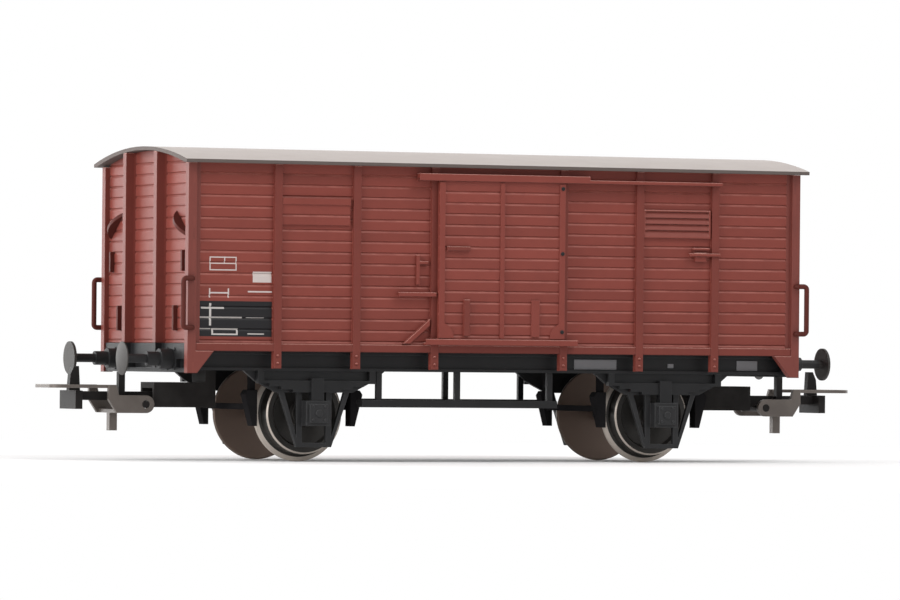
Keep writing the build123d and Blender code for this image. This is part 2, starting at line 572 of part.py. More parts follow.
# Closed hatches: a boarded lid under a rail, and the bolt that holds the vent's shutter
for side, frame in SIDES:
    with BuildPart(frame) as hatch:
        with BuildSketch(on(frame, Plane.YZ.offset(HATCH_X[0]))):
            with BuildLine():
                middle_joint = HATCH_Z[0] + HATCH_HEIGHT / 2
                Polyline(*boarded(-SIDE_FACE - HATCH_PROUD, -SIDE_FACE, *HATCH_Z, middle_joint), close=True)
            make_face()
        extrude(amount=HATCH_X[1] - HATCH_X[0])
        block(HATCH_X, (-SIDE_FACE - HATCH_HOOD_PROUD, -SIDE_FACE), (HATCH_Z[1], HATCH_Z[1] + HATCH_HOOD))
    save(hatch, f"hatch_{side}")
    with BuildPart(frame) as bolt:
        for x, z, foot, proud in BOLT_PIECES:
            block((OUTER_POST + x[0], OUTER_POST + x[1]), (-SIDE_FACE - proud, -SIDE_FACE - foot),
                  (VENT_Z[0] + z[0], VENT_Z[0] + z[1]))
    save(bolt, f"vent_bolt_{side}")

# Grab irons at the corners, and slanted lamp irons and staples on the end boards
for end, frame in ENDS:
    with BuildPart(frame) as grab_irons:
        for turn in (-1, 1):
            with BuildLine() as wire:
                FilletPolyline(*[frame.from_local_coords(Vector(x, turn * y, z)) for x, y, z in (
                    (GRAB_X[0], GRAB_Y[0], GRAB_Z[0]), (GRAB_X[0], GRAB_Y[1], GRAB_Z[0]),
                    (GRAB_X[1], GRAB_Y[1], GRAB_Z[0]), (GRAB_X[1], GRAB_Y[1], GRAB_Z[1]),
                    (GRAB_X[0], GRAB_Y[1], GRAB_Z[1]), (GRAB_X[0], GRAB_Y[0], GRAB_Z[1]))], radius=GRAB_BEND)
            with BuildSketch(Plane(wire.line @ 0, z_dir=wire.line % 0)):
                Circle(GRAB_R)
            sweep(path=wire.line)
    save(grab_irons, f"grab_irons_{end}")
    with BuildPart(frame) as lamp_irons:
        for turn in (-1, 1):
            foot, tip = [Vector(-END_FACE, turn * (SIDE_FACE - inset), SILL_TOP + z)
                         for inset, z in (LAMP_FOOT, LAMP_TIP)]
            rise = tip - foot
            slant = Plane(origin=foot, x_dir=rise, z_dir=rise.cross(Vector(-1, 0, 0)))
            with BuildSketch(on(frame, slant)):
                with BuildLine():
                    ThreePointArc((0, 0), (rise.length / 2, LAMP_PROUD), (rise.length, 0))
                    Line((rise.length, 0), (0, 0))
                make_face()
            extrude(amount=LAMP_WIDTH / 2, both=True)
            for inset, z in LAMP_STAPLES:
                y = turn * (SIDE_FACE - inset)
                block((-END_FACE - STAPLE_PROUD, -END_FACE), (y - LAMP_WIDTH / 2, y + LAMP_WIDTH / 2),
                      (SILL_TOP + z[0], SILL_TOP + z[1]))
    save(lamp_irons, f"lamp_irons_{end}")

# Underframe: channel sole bars, channel headstocks and the steel weight under the floor
for side, frame in SIDES:
    with BuildPart(frame) as sole_bar:
        block((-HEADSTOCK_BACK, HEADSTOCK_BACK), (-SOLE_BAR_FACE, -SOLE_BAR_Y),
              (SOLE_BAR_BOTTOM, SILL_BOTTOM))
        block((-HEADSTOCK_BACK, HEADSTOCK_BACK), (-SOLE_BAR_FACE, -SOLE_BAR_Y - FLANGE),
              (SOLE_BAR_BOTTOM + FLANGE, SILL_BOTTOM - FLANGE), mode=Mode.SUBTRACT)
    save(sole_bar, f"sole_bar_{side}")
for end, frame in ENDS:
    with BuildPart(frame) as headstock:
        block((-HEADSTOCK_FACE, -HEADSTOCK_BACK), (-HEADSTOCK_HALF, HEADSTOCK_HALF),
              (HEADSTOCK_BOTTOM, SILL_TOP - FIT))
        block((-HEADSTOCK_FACE, -HEADSTOCK_FACE + HEADSTOCK_RECESS), (-HEADSTOCK_HALF, HEADSTOCK_HALF),
              (HEADSTOCK_BOTTOM + HEADSTOCK_LIP, BUFFER_Z), mode=Mode.SUBTRACT)
        for y in (-BUFFER_Y, BUFFER_Y):
            block((-HEADSTOCK_FACE, -HEADSTOCK_BACK), (y - BUFFER_PLATE / 2, y + BUFFER_PLATE / 2),
                  (HEADSTOCK_BOTTOM, SILL_TOP - FIT))
        for y in (-END_POST_Y, END_POST_Y):
            block((-END_FACE - END_POST_PROUD, -HEADSTOCK_BACK),
                  (y - END_POST_WIDTH / 2, y + END_POST_WIDTH / 2),
                  (HEADSTOCK_BOTTOM + HEADSTOCK_LIP, SILL_TOP - FIT))
    save(headstock, f"headstock_{end}")
with BuildPart() as ballast_plate:
    block((-BALLAST_X, BALLAST_X), (-BALLAST_Y, BALLAST_Y), (BALLAST_BOTTOM, SILL_BOTTOM))
save(ballast_plate, "ballast_plate")

# Axle guards with their axle boxes, and the leaf springs above them
for end, x in AXLES:
    for side, frame in SIDES:
        middle = x if side == "near" else -x
        guard_frame = Plane(frame.location * Location((middle, 0, 0)))
        with BuildPart(guard_frame) as axle_guard:
            with BuildSketch(on(guard_frame, Plane.XZ.offset(GUARD_BACK))):
                for outline in GUARD_OUTLINES:
                    with BuildLine():
                        Polyline(*outline, close=True)
                    make_face()
                for outline in GUARD_LEGS:
                    for turn in (-1, 1):
                        with BuildLine():
                            Polyline(*[(turn * u, v) for u, v in outline], close=True)
                        make_face()
            extrude(amount=GUARD_THICK)
            block((-BOX_HALF, BOX_HALF), (-BOX_FACE, -GUARD_BACK), BOX_Z)
            block((-BOX_HALF + BOX_LID_INSET, BOX_HALF - BOX_LID_INSET), (-BOX_FACE - BOX_LID, -BOX_FACE),
                  (BOX_Z[0] + BOX_LID_INSET, BOX_Z[1] - BOX_LID_INSET))
            with Locations(on(HOME, Plane.XZ.offset(GUARD_BACK + BORE_DEPTH / 2)).location):
                with Locations((0, AXLE_Z, 0)):
                    Cylinder(JOURNAL_R + JOURNAL_PLAY, BORE_DEPTH, mode=Mode.SUBTRACT)
        save(axle_guard, f"axle_guard_{end}_{side}")
        with BuildPart(guard_frame) as leaf_spring:
            block((-BUCKLE_HALF, BUCKLE_HALF), (-SPRING_FACE - BUCKLE_PROUD, -SPRING_BACK),
                  (BOX_Z[1], SPRING_TOP + BUCKLE_PROUD))
            for i in range(SPRING_LEAVES):
                half = SPRING_HALF - i * SPRING_STEP
                top = SPRING_TOP - i * LEAF
                block((-half, half), (-SPRING_FACE, -SPRING_BACK), (top - LEAF, top))
            for turn in (-1, 1):
                block(sorted((turn * (SPRING_HALF - HANGER), turn * SPRING_HALF)),
                      (-SPRING_FACE, -SPRING_BACK), (SPRING_TOP - LEAF, SOLE_BAR_BOTTOM))
        save(leaf_spring, f"leaf_spring_{end}_{side}")

# Brake shoes, hangers and cross beams, ahead of and behind each wheelset
for end, x in AXLES:
    with BuildPart() as brakes:
        for turn in (-1, 1):
            for y in (-SHOE_Y, SHOE_Y):
                with BuildSketch(Plane.XZ.offset(-y - SHOE_WIDTH / 2)):
                    with BuildLine():
                        Polyline(*[(x + turn * (FLANGE_R + u), AXLE_Z + v) for u, v in SHOE_OUTLINE],
                                 close=True)
                    make_face()
                extrude(amount=SHOE_WIDTH)
                block(sorted((x + turn * SHOE_HANGER[0], x + turn * SHOE_HANGER[1])),
                      (y - SHOE_HANGER_WIDTH / 2, y + SHOE_HANGER_WIDTH / 2), (BEAM_Z[0], SILL_BOTTOM))
            block(sorted((x + turn * SHOE_HANGER[0], x + turn * SHOE_HANGER[1])), (-SHOE_Y, SHOE_Y), BEAM_Z)
    save(brakes, f"brakes_{end}")

# Footboards with their hangers
for side, frame in SIDES:
    with BuildPart(frame) as footboard:
        block(STEP_X, (-STEP_FACE, -STEP_BACK), STEP_Z)
        for x in STEP_HANGERS:
            block((x - STEP_HANGER / 2, x + STEP_HANGER / 2),
                  (-SOLE_BAR_FACE + FLANGE / 2, -SOLE_BAR_Y - FLANGE / 2), (STEP_Z[0], SOLE_BAR_BOTTOM))
    save(footboard, f"footboard_{side}")

# Buffers, turned about their own axis: one domed and one flat at each end
for end, frame in ENDS:
    for side, y, dome in (("near", -BUFFER_Y, BUFFER_DOME), ("far", BUFFER_Y, 0)):
        plane = Plane(frame.location * Location((-HEADSTOCK_FACE, y, BUFFER_Z)) * Plane.XZ.location)
        with BuildPart() as buffer:
            with BuildSketch(plane):
                with BuildLine():
                    rim = Line((-BUFFER_LENGTH + dome, HEAD_R), (-BUFFER_LENGTH + HEAD_THICK, HEAD_R))
                    Polyline(rim @ 1, (-BUFFER_LENGTH + HEAD_THICK, PLUNGER_R), (-SLEEVE_LENGTH, PLUNGER_R),
                             (-SLEEVE_LENGTH, SLEEVE_R), (-SLEEVE_FOOT, SLEEVE_R),
                             (-SLEEVE_FOOT, SLEEVE_FOOT_R), (0, SLEEVE_FOOT_R), (0, 0), (-BUFFER_LENGTH, 0))
                    if dome:
                        ThreePointArc((-BUFFER_LENGTH, 0), (-BUFFER_LENGTH + dome / 4, HEAD_R / 2), rim @ 0)
                    else:
                        Line((-BUFFER_LENGTH, 0), rim @ 0)
                make_face()
            revolve(axis=Axis(plane.origin, plane.x_dir))
        turned_side = side if end == "left" else {"near": "far", "far": "near"}[side]
        save(buffer, f"buffer_{end}_{turned_side}")

# Coupler pockets: a roof on a stem, two cheeks and the pin that the coupler swings on
for end, frame in ENDS:
    with BuildPart(frame) as pocket:
        block((-POCKET_FRONT, -POCKET_BACK), (-POCKET_HALF, POCKET_HALF), (POCKET_ROOF, POCKET_TOP))
        block((-POCKET_BACK - POCKET_STEM, -POCKET_BACK), (-POCKET_HALF, POCKET_HALF),
              (POCKET_TOP, SILL_BOTTOM))
        for y in ((-POCKET_HALF, -POCKET_HALF + POCKET_CHEEK), (POCKET_HALF - POCKET_CHEEK, POCKET_HALF)):
            block((-POCKET_FRONT, -POCKET_BACK), y, (POCKET_BOTTOM, POCKET_ROOF))
        with Locations((-SWING_X, 0, (POCKET_BOTTOM + POCKET_ROOF) / 2)):
            Cylinder(SWING_PIN_R, POCKET_ROOF - POCKET_BOTTOM)
        with Locations((-SWING_X, 0, POCKET_BOTTOM + SWING_HEAD / 2)):
            Cylinder(SWING_HEAD_R, SWING_HEAD)
    save(pocket, f"coupler_pocket_{end}")

# Couplers: an eye, a shank, a buffing plate with its hook horn, an upright stop and the pin of the loop
for end, frame in ENDS:
    stop_y = -STOP_POST_Y if end == "left" else STOP_POST_Y
    pin_frame = Plane(frame.location * Location((-SWING_X, 0, 0)))
    with BuildPart(pin_frame) as coupler:
        with Locations((0, 0, (EYE_Z[0] + EYE_Z[1]) / 2)):
            Cylinder(EYE_R, EYE_Z[1] - EYE_Z[0])
        block((-SHANK_STEP, 0), (-SHANK_HALF, SHANK_HALF), SHANK_Z)
        block((-PLATE_FRONT, -SHANK_STEP), (-SHANK_HALF, SHANK_HALF), (SHANK_NECK, SHANK_Z[1]))
        block((-PLATE_FRONT, -PLATE_FRONT + PLATE_THICK), (-PLATE_HALF, PLATE_HALF), PLATE_Z)
        with BuildSketch(on(pin_frame, Plane.XZ.offset(-HORN_WIDTH / 2))):
            with BuildLine():
                Polyline(*[(-PLATE_FRONT + x, SHANK_Z[1] + z) for x, z in HORN_OUTLINE], close=True)
            make_face()
        extrude(amount=HORN_WIDTH)
        stop_x = (-STOP_POST_X - STOP_POST / 2, -STOP_POST_X + STOP_POST / 2)
        block(stop_x, (stop_y - STOP_POST / 2, stop_y + STOP_POST / 2),
              (SHANK_Z[1] - STOP_POST, SHANK_Z[1] + STOP_POST_HEIGHT))
        block(stop_x, sorted((0, stop_y)), (SHANK_Z[1] - STOP_POST, SHANK_Z[1]))
        with Locations(Location((-LIFT_X, 0, LIFT_Z), (90, 0, 0))):
            Cylinder(LIFT_PIN_R, 2 * LOOP_ARM_FACE)
        with Locations((0, 0, (EYE_Z[0] + EYE_Z[1]) / 2)):
            Cylinder(SWING_PIN_R + SWING_PLAY, EYE_Z[1] - EYE_Z[0], mode=Mode.SUBTRACT)
    save(coupler, f"coupler_{end}")

# Coupling loops: two arms on the coupler's pin, the flat loop in front of them and the tail below
for end, frame in ENDS:
    lift_frame = Plane(frame.location * Location((-SWING_X - LIFT_X, 0, LIFT_Z)))
    with BuildPart(lift_frame) as loop:
        for y in (-LOOP_ARM_FACE + LOOP_ARM, LOOP_ARM_FACE):
            with BuildSketch(on(lift_frame, Plane.XZ.offset(-y))):
                with BuildLine():
                    Polyline(*LOOP_ARM_OUTLINE, close=True)
                make_face()
                Circle(LOOP_ARM_EYE_R)
                Circle(LIFT_PIN_R + LIFT_PLAY, mode=Mode.SUBTRACT)
            extrude(amount=LOOP_ARM)
        with BuildSketch(on(lift_frame, Plane.XY.offset(LOOP_RISE))):
            with Locations(((-LOOP_TIP - LOOP_ROOT) / 2, 0)):
                RectangleRounded(LOOP_TIP - LOOP_ROOT, 2 * LOOP_ARM_FACE, LOOP_CORNER)
            with Locations(((-LOOP_TIP - LOOP_ROOT) / 2 + LOOP_BAR, 0)):
                Rectangle(LOOP_TIP - LOOP_ROOT, 2 * (LOOP_ARM_FACE - LOOP_BAR), mode=Mode.SUBTRACT)
        extrude(amount=LOOP_THICK)
        tail_x = (-TAIL_X - TAIL / 2, -TAIL_X + TAIL / 2)
        block(tail_x, (-LOOP_ARM_FACE, LOOP_ARM_FACE), TAIL_BAR_Z)
        block(tail_x, (-TAIL / 2, TAIL / 2), (TAIL_BOTTOM, TAIL_BAR_Z[1]))
    save(loop, f"coupling_loop_{end}")

# Wheelsets: an axle with journals, and two flanged wheels pressed on it
for end, x in AXLES:
    with BuildPart() as axle:
        with BuildSketch(Plane.YZ.offset(x)):
            with BuildLine():
                journal_top = AXLE_Z + JOURNAL_R
                axle_top = AXLE_Z + AXLE_R
                Polyline((-JOURNAL_END, AXLE_Z), (-JOURNAL_END, journal_top), (-WHEEL_FACE, journal_top),
                         (-WHEEL_FACE, axle_top), (WHEEL_FACE, axle_top), (WHEEL_FACE, journal_top),
                         (JOURNAL_END, journal_top), (JOURNAL_END, AXLE_Z), close=True)
            make_face()
        revolve(axis=Axis((x, 0, AXLE_Z), (0, 1, 0)))
    save(axle, f"axle_{end}")
    with BuildPart() as wheels:
        for turn in (-1, 1):
            with BuildSketch(Plane.YZ.offset(x)):
                with BuildLine():
                    Polyline(*[(turn * y, AXLE_Z + r) for y, r in WHEEL_PROFILE], close=True)
                make_face()
            revolve(axis=Axis((x, 0, AXLE_Z), (0, 1, 0)))
    save(wheels, f"wheels_{end}")
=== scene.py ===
"""Looks of an H0 model covered goods wagon: moulded plastic, paint, small fittings, light and camera."""
import json
import math

import bmesh
import bpy
from mathutils import Matrix, Vector


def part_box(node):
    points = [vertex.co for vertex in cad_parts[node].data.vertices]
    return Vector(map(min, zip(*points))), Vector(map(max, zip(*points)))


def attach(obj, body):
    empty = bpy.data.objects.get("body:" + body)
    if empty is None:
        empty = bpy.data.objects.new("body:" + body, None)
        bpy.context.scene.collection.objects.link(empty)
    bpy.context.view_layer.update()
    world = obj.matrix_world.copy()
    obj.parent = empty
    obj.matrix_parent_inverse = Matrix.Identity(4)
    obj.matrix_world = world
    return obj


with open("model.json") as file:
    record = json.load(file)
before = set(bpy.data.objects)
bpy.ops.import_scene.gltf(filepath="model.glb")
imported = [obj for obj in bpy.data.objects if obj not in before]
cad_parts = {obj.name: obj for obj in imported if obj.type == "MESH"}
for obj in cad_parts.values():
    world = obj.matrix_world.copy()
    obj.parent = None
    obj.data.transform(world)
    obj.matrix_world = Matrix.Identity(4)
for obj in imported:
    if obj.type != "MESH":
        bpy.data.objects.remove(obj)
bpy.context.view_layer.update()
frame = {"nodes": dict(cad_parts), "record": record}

MM = 0.001

# Camera: the place and lens that the photograph was taken with
CAMERA_PLACE = Vector((-0.36866, -0.84705, 0.014527))
CAMERA_YAW = math.radians(23.507)
CAMERA_ROLL = math.radians(0.533)
CAMERA_LENS = 266.5
CAMERA_SENSOR = 36.0
CAMERA_SHIFT = (0.0006, 0.0621)

# Studio, in metres and watts; a lamp has a name, a place, a size and a power
FLOOR_HALF = 8.0
FLOOR_NEAR = 0.07         # the floor shows the wagon's shadow out to here
FLOOR_FAR = 0.2           # and is plain white from here on
FLOOR_WHITES = ((250, 250, 250), (255, 255, 255))
FLOOR_ROUGHNESS = 0.9
FLOOR_PATCHES = 20.0      # patches of tone in a metre
WORLD_LEVEL = 0.52
LAMP_TARGET = Vector((0, 0, 0.02))
LAMPS = (
    ("left lamp", (-0.8, -0.15, 0.3), 0.55, 5.6),
    ("front lamp", (0.33, -0.55, 0.75), 0.36, 2.9),
    ("back lamp", (-0.42, 0.92, 0.26), 0.9, 8.0),
    ("right lamp", (0.85, 0.22, 0.32), 0.6, 3.0),
)

# Paint, plastic and metal as sRGB values: the deep, plain and edge tones of each finish
RED_TONES = ((117, 56, 48), (130, 63, 54), (152, 84, 74))
# the vent slats' red is lighter than the walls' red: a painted highlight
VENT_HIGHLIGHT_TONES = (RED_TONES[0], (134, 70, 61), RED_TONES[2])
# the lamp and grab irons: the body red darkened as painted shade
IRON_SHADE_TONES = ((72, 34, 29), (88, 42, 36), RED_TONES[0])
ROOF_TONES = ((170, 160, 155), (184, 175, 170), (194, 185, 180))
PLANK_TONES = ((78, 58, 46), (98, 74, 58), (120, 94, 76))
FRAME_TONES = ((24, 24, 25), (34, 34, 35), (66, 66, 68))
# the guards' edge tone is a painted highlight along the edges of the axle guards and boxes
GUARD_TONES = ((34, 34, 35), (47, 47, 48), (104, 104, 106))
BRAKE_TONES = ((30, 29, 30), (40, 39, 40), FRAME_TONES[1])
COUPLER_TONES = ((28, 26, 26), (40, 38, 37), (92, 88, 84))
POCKET_TONES = (COUPLER_TONES[0], (58, 56, 55), COUPLER_TONES[2])
LOOP_TONES = ((78, 71, 67), (108, 100, 94), (160, 152, 144))
BALLAST_TONES = ((70, 68, 67), (94, 92, 90), (130, 128, 126))
AXLE_TONES = ((120, 118, 116), (150, 148, 146), (190, 188, 186))
PLATE_TONES = ((104, 104, 107), (122, 122, 124), (130, 132, 136))
TREAD_STEEL = (202, 191, 181)
WHEEL_TONES = ((41, 39, 37), (55, 53, 51), TREAD_STEEL)

# Single tones that lie over a finish
# painted highlight on the lower flank of each board joint
JOINT_HIGHLIGHT_RED = (176, 108, 97)
# painted highlight along the upper edges and painted shade along the lower edges of fittings and posts
EDGE_HIGHLIGHT_RED = (214, 160, 148)
SHADED_RED = (46, 15, 11)
WHEEL_BROWN = (148, 127, 115)
BUFFER_METAL_DEEP = (46, 43, 41)
BUFFER_METAL = (60, 57, 55)
# painted shade on the roof's faces that don't look up
ROOF_EDGE_SHADE = (88, 78, 74)
PLANK_JOINT = (46, 34, 27)
BOARD_BLACK = (30, 29, 31)
LINE_WHITE = (206, 200, 196)
DUST_GREY = (176, 166, 156)


def linear(colour):
    """An sRGB colour as the linear RGBA that a shader socket takes."""
    def one(level):
        level /= 255
        return level / 12.92 if level <= 0.04045 else ((level + 0.055) / 1.055) ** 2.4
    return (*[one(level) for level in colour], 1.0)


# Node helpers

def add_node(tree, kind, settings=None, **inputs):
    """A new node with its settings, and its inputs by name, with _ for each space, or by number, as in _0."""
    node = tree.nodes.new(kind)
    for name, value in (settings or {}).items():
        setattr(node, name, value)
    for name, value in inputs.items():
        socket = node.inputs[int(name[1:])] if name[1:].isdigit() else node.inputs[name.replace("_", " ")]
        if isinstance(value, bpy.types.NodeSocket):
            tree.links.new(value, socket)
        else:
            socket.default_value = value
    return node


def math_node(tree, operation, *values):
    """The output of a Math node on values or sockets."""
    inputs = {f"_{i}": value for i, value in enumerate(values)}
    return add_node(tree, "ShaderNodeMath", {"operation": operation}, **inputs).outputs[0]


def product(tree, first, *others):
    """The product of values or sockets."""
    for other in others:
        first = math_node(tree, "MULTIPLY", first, other)
    return first


def remap(tree, value, start, end, low=0.0, high=1.0):
    """The run of a value from start to end, laid over the run from low to high and held within it."""
    node = add_node(tree, "ShaderNodeMapRange", _0=value, _1=start, _2=end, _3=low, _4=high)
    return node.outputs["Result"]


def blend_colour(tree, factor, first, second, mode="MIX"):
    """The output of a colour Mix node."""
    settings = {"data_type": "RGBA", "blend_type": mode}
    return add_node(tree, "ShaderNodeMix", settings, _0=factor, _6=first, _7=second).outputs[2]


def tint(tree, colour, tone):
    """A colour times a tone, the same for red, green and blue."""
    shade = add_node(tree, "ShaderNodeCombineColor", _0=tone, _1=tone, _2=tone).outputs["Color"]
    return blend_colour(tree, 1.0, colour, shade, "MULTIPLY")


def object_place(tree):
    """Object coordinates, in metres."""
    return add_node(tree, "ShaderNodeTexCoord").outputs["Object"]


def split(tree, vector):
    """The X, Y and Z of a vector."""
    return add_node(tree, "ShaderNodeSeparateXYZ", Vector=vector).outputs


def facing_up(tree):
    """How far a face looks up: 1 for level, 0 for upright."""
    return split(tree, add_node(tree, "ShaderNodeNewGeometry").outputs["Normal"])["Z"]


def new_group(name, inputs, outputs):
    """A shader node group with float inputs (name, default) and outputs (name, kind)."""
    group = bpy.data.node_groups.new(name, "ShaderNodeTree")
    for label, value in inputs:
        socket = group.interface.new_socket(label, in_out="INPUT", socket_type="NodeSocketFloat")
        socket.default_value = value
    for label, kind in outputs:
        group.interface.new_socket(label, in_out="OUTPUT", socket_type=f"NodeSocket{kind}")
    return group, group.nodes.new("NodeGroupInput").outputs, group.nodes.new("NodeGroupOutput").inputs


def use_group(tree, group, **inputs):
    """A group placed in a material with its own values."""
    return add_node(tree, "ShaderNodeGroup", {"node_tree": group}, **inputs).outputs


# Shared effects, with their sizes in millimetres

MOTTLE_SIZE = 3.0
MOTTLE_DETAIL = 3.0
GRAIN_SIZE = 0.12
GRAIN_DETAIL = 2.0
NOISE_ROUGHNESS = 0.55


def make_moulded_surface():
    """Fine skin of moulded plastic: slow mottling of the colour, and a grain that roughens the surface."""
    sizes = [("Mottle Size", MOTTLE_SIZE), ("Grain Size", GRAIN_SIZE)]
    group, given, put = new_group("moulded surface", sizes, [("Mottle", "Float"), ("Grain", "Float")])
    place = object_place(group)
    for label, detail in (("Mottle", MOTTLE_DETAIL), ("Grain", GRAIN_DETAIL)):
        scale = math_node(group, "DIVIDE", 1 / MM, given[f"{label} Size"])
        noise = add_node(group, "ShaderNodeTexNoise", Vector=place, Scale=scale, Detail=detail,
                         Roughness=NOISE_ROUGHNESS)
        group.links.new(noise.outputs["Fac"], put[label])
    return group


EDGE_RADIUS = 0.1
EDGE_SAMPLES = 4
EDGE_BEND = (0.995, 0.86)  # the bent normal along the true one, where an edge begins and where it is full
EDGE_SLOPE = 0.45          # how far up or down the normal points on a full upper or lower edge


def make_soft_edges():
    """Edges rounded by a small radius: the bent normal, and masks of all, the upper and the lower edges."""
    group, given, put = new_group("soft edges", [("Radius", EDGE_RADIUS)], [
        ("Normal", "Vector"), ("Edge", "Float"), ("Upper", "Float"), ("Lower", "Float")])
    radius = product(group, given["Radius"], MM)
    bent = add_node(group, "ShaderNodeBevel", {"samples": EDGE_SAMPLES}, Radius=radius).outputs["Normal"]
    true = add_node(group, "ShaderNodeNewGeometry").outputs["Normal"]
    dot = add_node(group, "ShaderNodeVectorMath", {"operation": "DOT_PRODUCT"}, _0=bent, _1=true)
    edge = remap(group, dot.outputs["Value"], *EDGE_BEND)
    group.links.new(bent, put["Normal"])
    group.links.new(edge, put["Edge"])
    up = split(group, bent)["Z"]
    for label, slope in (("Upper", EDGE_SLOPE), ("Lower", -EDGE_SLOPE)):
        group.links.new(product(group, edge, remap(group, up, slope / 3, slope)), put[label])
    return group


DUST_PATCH = 2.5
DUST_DETAIL = 4.0
DUST_SLOPE = (0.3, 0.95)  # how far a face looks up where dust begins to lie, and where it lies fully


def make_settled_dust():
    """Pale dust that lies on faces that look up, thinner where the noise is dark."""
    group, given, put = new_group("settled dust", [("Amount", 0.3)], [("Mask", "Float")])
    lying = remap(group, facing_up(group), *DUST_SLOPE)
    patch = add_node(group, "ShaderNodeTexNoise", Vector=object_place(group), Scale=1 / (DUST_PATCH * MM),
                     Detail=DUST_DETAIL).outputs["Fac"]
    group.links.new(product(group, lying, patch, given["Amount"]), put["Mask"])
    return group


WALL_FACE = 16.0          # from the wagon's middle out to the side boards
BOARD = 1.5
LOWEST_JOINT = 16.37
FIRST_POST = 9.6
PANEL = 11.5              # from post to post
BOARD_SKIN = (0.1, 0.12)  # the boards' faces lie this deep, more or less by this much
JOINT_FLANK = (0.34, 0.22)  # below a joint, where its light flank ends
JOINT_GAP = (0.02, 0.08)    # and where it begins


def make_board_tone():
    """Tone of each board of a wall, and a mask of the lower flank of each joint between two boards, which
    takes a painted highlight on walls and a dark joint on the floor.
    """
    sizes = [("Along", 0.0), ("Across", 0.0), ("Up", 0.0), ("Board", BOARD), ("Lowest Joint", LOWEST_JOINT),
             ("First Post", FIRST_POST), ("Panel", PANEL), ("Face", WALL_FACE)]
    group, given, put = new_group("board tone", sizes, [("Tone", "Float"), ("Joint", "Float")])
    rows = math_node(group, "DIVIDE", math_node(group, "SUBTRACT", given["Up"], given["Lowest Joint"]),
                     given["Board"])
    reach = math_node(group, "ABSOLUTE", given["Along"])
    past_post = math_node(group, "SUBTRACT", reach, given["First Post"])
    bay = math_node(group, "FLOOR", math_node(group, "DIVIDE", past_post, given["Panel"]))
    quarter = math_node(group, "MULTIPLY_ADD", math_node(group, "SIGN", given["Along"]), 2.0,
                        math_node(group, "SIGN", given["Across"]))
    number = add_node(group, "ShaderNodeCombineXYZ", X=math_node(group, "FLOOR", rows), Y=bay, Z=quarter)
    noise = add_node(group, "ShaderNodeTexWhiteNoise", {"noise_dimensions": "3D"},
                     Vector=number.outputs["Vector"])
    depth = math_node(group, "SUBTRACT", given["Face"], math_node(group, "ABSOLUTE", given["Across"]))
    on_boards = math_node(group, "COMPARE", depth, *BOARD_SKIN)
    swing = product(group, math_node(group, "SUBTRACT", noise.outputs["Value"], 0.5), on_boards)
    group.links.new(math_node(group, "ADD", swing, 0.5), put["Tone"])
    below = product(group, math_node(group, "SUBTRACT", 1.0, math_node(group, "FRACT", rows)), given["Board"])
    flank = remap(group, below, *JOINT_FLANK)
    group.links.new(product(group, flank, remap(group, below, *JOINT_GAP), on_boards), put["Joint"])
    return group


def make_painted_box():
    """Mask of a painted rectangle on a wall."""
    sides = [("Along", 0.0), ("Up", 0.0), ("Start", 0.0), ("End", 1.0), ("Bottom", 0.0), ("Top", 1.0)]
    group, given, put = new_group("painted box", sides, [("Mask", "Float")])
    tests = (("GREATER_THAN", "Along", "Start"), ("LESS_THAN", "Along", "End"),
             ("GREATER_THAN", "Up", "Bottom"), ("LESS_THAN", "Up", "Top"))
    within = [math_node(group, operation, given[place], given[limit]) for operation, place, limit in tests]
    group.links.new(product(group, *within), put["Mask"])
    return group


MOULDED_SURFACE = make_moulded_surface()
SOFT_EDGES = make_soft_edges()
SETTLED_DUST = make_settled_dust()
BOARD_TONE = make_board_tone()
PAINTED_BOX = make_painted_box()


# Finishes

GRAIN_SPREAD = (0.3, 0.7)  # the grain's range that takes up the whole range of roughness
GRAIN_DEPTH = 0.006
GRAIN_STRENGTH = 0.5


def new_material(name, **shader_values):
    """A material with its shader, and the shader's plain values set on its own sockets."""
    material = bpy.data.materials.new(name)
    material.use_nodes = True
    tree = material.node_tree
    shader = tree.nodes["Principled BSDF"]
    for label, value in shader_values.items():
        shader.inputs[label.replace("_", " ")].default_value = value
    return material, tree, shader


def dress(tree, shader, tones, roughness, edge_radius=EDGE_RADIUS, edge_share=0.5, dust=0.0):
    """Colour, roughness and normal of a moulded surface, from its deep, plain and edge tones."""
    skin = use_group(tree, MOULDED_SURFACE)
    edges = use_group(tree, SOFT_EDGES, Radius=edge_radius)
    deep, plain, edge = [linear(tone) for tone in tones]
    colour = blend_colour(tree, skin["Mottle"], deep, plain)
    colour = blend_colour(tree, product(tree, edges["Edge"], edge_share), colour, edge)
    if dust:
        lying = use_group(tree, SETTLED_DUST, Amount=dust)["Mask"]
        colour = blend_colour(tree, lying, colour, linear(DUST_GREY))
    bump = add_node(tree, "ShaderNodeBump", Strength=GRAIN_STRENGTH, Distance=GRAIN_DEPTH * MM,
                    Height=skin["Grain"], Normal=edges["Normal"])
    tree.links.new(remap(tree, skin["Grain"], *GRAIN_SPREAD, *roughness), shader.inputs["Roughness"])
    tree.links.new(bump.outputs["Normal"], shader.inputs["Normal"])
    tree.links.new(colour, shader.inputs["Base Color"])
    return colour


RED_ROUGHNESS = (0.42, 0.56)
RED_SHINE = 0.2
RED_DUST = 0.1
END_SHINE = 0.32
POST_LIFT = 0.3           # the posts' faces stand further than this out of the boards
# painted shade: how much darker the posts' faces are made than the boards
POST_SHADE = 0.2
FITTING_EDGE = 0.2
FITTING_EDGE_SHARE = 0.4
# strength of the painted highlight and painted shade along the edges of fittings and posts
EDGE_LIGHT_SHARE = 0.95
BOARD_LEVELS = (0.92, 1.08)
